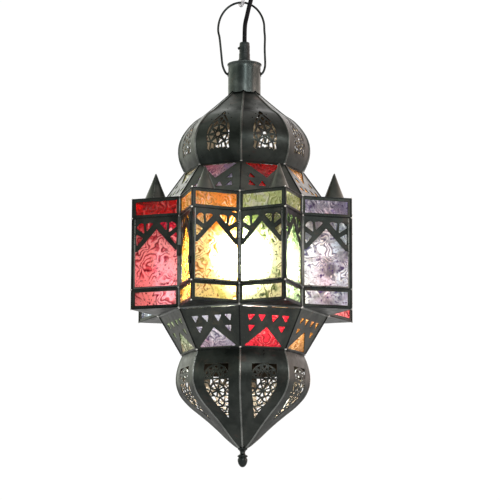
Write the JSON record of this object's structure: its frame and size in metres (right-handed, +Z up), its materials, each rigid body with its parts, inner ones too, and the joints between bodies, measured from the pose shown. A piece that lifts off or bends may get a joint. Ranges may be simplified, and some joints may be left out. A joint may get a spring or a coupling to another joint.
{
  "type": "pendant lantern",
  "caption": "Moroccan style pierced metal pendant lantern with a star-shaped body of coloured glass, onion domes, wire bail, cord and a hinged glazed door.",
  "frame": {"origin": "centre of the ceiling rose's flat top face, where it meets the ceiling", "axes": "+Z up along the lantern's axis, -Y the front with a recess of the star facing it, +X to the right seen from the front"},
  "size_m": [0.292, 0.2921, 0.6807],
  "materials": {
    "aged_iron": "satin dark gunmetal patina over sheet steel",
    "black_wire": "satin black steel wire",
    "hanger_black": "satin black",
    "clear_hook": "clear",
    "cord_sheath": "black PVC sheath",
    "black_plastic": "moulded black",
    "threaded_steel": "zinc plated",
    "bulb_cap": "bright",
    "lamp_glass": "frosted, lit warm white",
    "glass_red": "embossed, red",
    "glass_orange": "embossed, amber orange",
    "glass_green": "embossed, yellow green",
    "glass_purple": "embossed, pale purple"
  },
  "bodies": {
    "hanger": {"ceiling_rose": "hanger_black", "ceiling_hook": "clear_hook", "bail_handle": "black_wire", "cord": "cord_sheath"},
    "lantern": {"cord_grip": "black_plastic", "collar": "aged_iron", "lamp_tube": "threaded_steel", "lamp_holder": "black_plastic", "upper_dome": "aged_iron", "lower_dome": "aged_iron", "bottom_finial": "aged_iron", "upper_frieze_frame": "aged_iron", "lower_frieze_frame": "aged_iron", "star_frame": "aged_iron", "door_hinge_wire": "black_wire", "upper_frieze_glass_1": "glass_green", "lower_frieze_glass_1": "glass_green", "spire_1": "aged_iron", "star_glass_1a": "glass_red", "star_glass_1b": "glass_red", "upper_frieze_glass_2": "glass_purple", "lower_frieze_glass_2": "glass_purple", "spire_2": "aged_iron", "star_glass_2a_upper": "glass_orange", "star_glass_2a_lower": "glass_orange", "star_glass_2b": "glass_orange", "upper_frieze_glass_3": "glass_red", "lower_frieze_glass_3": "glass_red", "spire_3": "aged_iron", "star_glass_3a": "glass_green", "star_glass_3b": "glass_green", "upper_frieze_glass_4": "glass_orange", "lower_frieze_glass_4": "glass_orange", "spire_4": "aged_iron", "star_glass_4a": "glass_purple", "star_glass_4b": "glass_purple", "upper_frieze_glass_5": "glass_green", "lower_frieze_glass_5": "glass_green", "spire_5": "aged_iron", "star_glass_5a": "glass_red", "star_glass_5b": "glass_red", "upper_frieze_glass_6": "glass_purple", "lower_frieze_glass_6": "glass_purple", "spire_6": "aged_iron", "star_glass_6a": "glass_orange", "star_glass_6b": "glass_orange", "upper_frieze_glass_7": "glass_red", "lower_frieze_glass_7": "glass_red", "spire_7": "aged_iron", "star_glass_7a": "glass_green", "star_glass_7b": "glass_green", "upper_frieze_glass_8": "glass_orange", "lower_frieze_glass_8": "glass_orange", "spire_8": "aged_iron", "star_glass_8a": "glass_purple", "star_glass_8b": "glass_purple"},
    "door": {"door_frame": "aged_iron", "door_glass": "glass_orange"},
    "bulb": {"bulb_cap": "bulb_cap", "bulb_glass": "lamp_glass"}
  },
  "joints": [
    {"name": "lantern_swing", "type": "hinge", "parent": "hanger", "child": "lantern", "pos_m": [0, 0, -0.143], "axis": [1, 0, 0], "range_deg": [-30, 30], "deforming": ["cord"]},
    {"name": "door_hinge", "type": "hinge", "parent": "lantern", "child": "door", "pos_m": [-0.06343, -0.14422, -0.4025], "axis": [0, 0, 1], "range_deg": [0, 110]},
    {"name": "bulb_turn", "type": "hinge", "parent": "lantern", "child": "bulb", "pos_m": [0, 0, -0.342], "axis": [0, 0, 1], "continuous": true}
  ]
}
